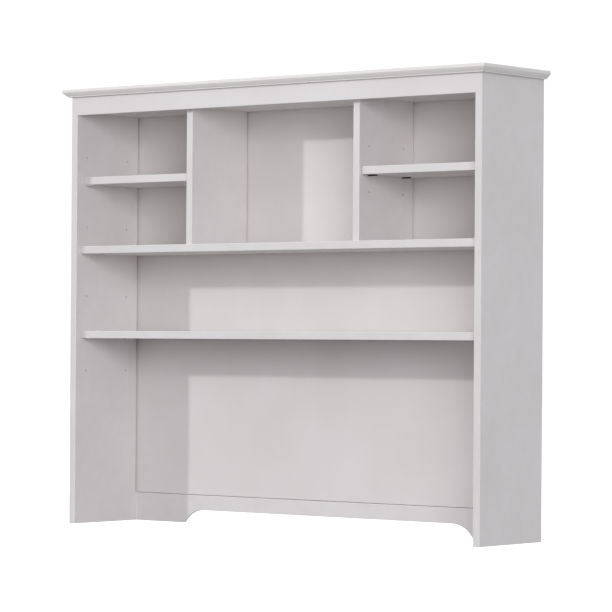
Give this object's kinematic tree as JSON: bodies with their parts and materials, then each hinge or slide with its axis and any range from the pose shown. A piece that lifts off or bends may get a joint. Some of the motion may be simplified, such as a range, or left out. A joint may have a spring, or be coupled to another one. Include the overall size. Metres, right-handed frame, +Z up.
{
  "type": "desk hutch",
  "caption": "Open hutch that stands on the back of a desk: moulded cap, partitioned top bays with pin-held shelves, a long shelf, and an arched rail at the back.",
  "frame": {"origin": "on the desk top, under the middle of the hutch's whole box, the cap's overhang included", "axes": "+X to the right along the shelves, +Y to the back, +Z up"},
  "size_m": [1.254, 0.252, 1.045],
  "materials": {
    "painted_board": "white satin paint over fibreboard, eased arrises",
    "painted_moulding": "white satin paint over a routed fibreboard edge",
    "painted_back": "white satin paint on thin fibreboard",
    "raw_batten": "planed softwood, unpainted",
    "support_metal": "dark plated pressed steel",
    "support_coated": "pressed steel, coated white",
    "plated_steel": "zinc plated",
    "cam_zinc": "die-cast zinc, satin",
    "dowel_wood": "plain beech, unfinished",
    "cover_plastic": "white moulded plastic",
    "insert_brass": "turned brass"
  },
  "bodies": {
    "case": {"side_panel_left": "painted_board", "side_panel_right": "painted_board", "top_panel": "painted_board", "fascia_rail": "painted_board", "upper_shelf": "painted_board", "partition_left": "painted_board", "partition_right": "painted_board", "bottom_rail": "painted_board", "top_cap": "painted_moulding", "back_panel": "painted_back", "cap_batten": "raw_batten", "supports_lower_shelf": "support_coated", "supports_small_left": "support_coated", "supports_small_right": "support_metal", "cam_bolts_upper_shelf": "plated_steel", "cam_locks_upper_shelf": "cam_zinc", "dowels_upper_shelf": "dowel_wood", "cam_bolts_top_panel": "plated_steel", "cam_locks_top_panel": "cam_zinc", "dowels_top_panel": "dowel_wood", "cam_bolts_fascia": "plated_steel", "cam_locks_fascia": "cam_zinc", "dowels_fascia": "dowel_wood", "cam_bolts_bottom_rail": "plated_steel", "cam_locks_bottom_rail": "cam_zinc", "dowels_bottom_rail": "dowel_wood", "dowels_batten": "dowel_wood", "dowels_partitions": "dowel_wood", "screws_partitions": "plated_steel", "screws_cap": "plated_steel", "screws_back_panel": "plated_steel", "covers_cap_screws": "cover_plastic", "base_inserts": "insert_brass"},
    "lower_shelf": {"lower_shelf": "painted_board"},
    "small_shelf_left": {"small_shelf_left": "painted_board"},
    "small_shelf_right": {"small_shelf_right": "painted_board"}
  },
  "joints": [
    {"name": "lower_shelf_slide", "type": "slide", "parent": "case", "child": "lower_shelf", "axis": [0, -1, 0], "range_m": [0, 0.24]},
    {"name": "small_shelf_left_slide", "type": "slide", "parent": "case", "child": "small_shelf_left", "axis": [0, -1, 0], "range_m": [0, 0.24]},
    {"name": "small_shelf_right_slide", "type": "slide", "parent": "case", "child": "small_shelf_right", "axis": [0, -1, 0], "range_m": [0, 0.24]}
  ]
}
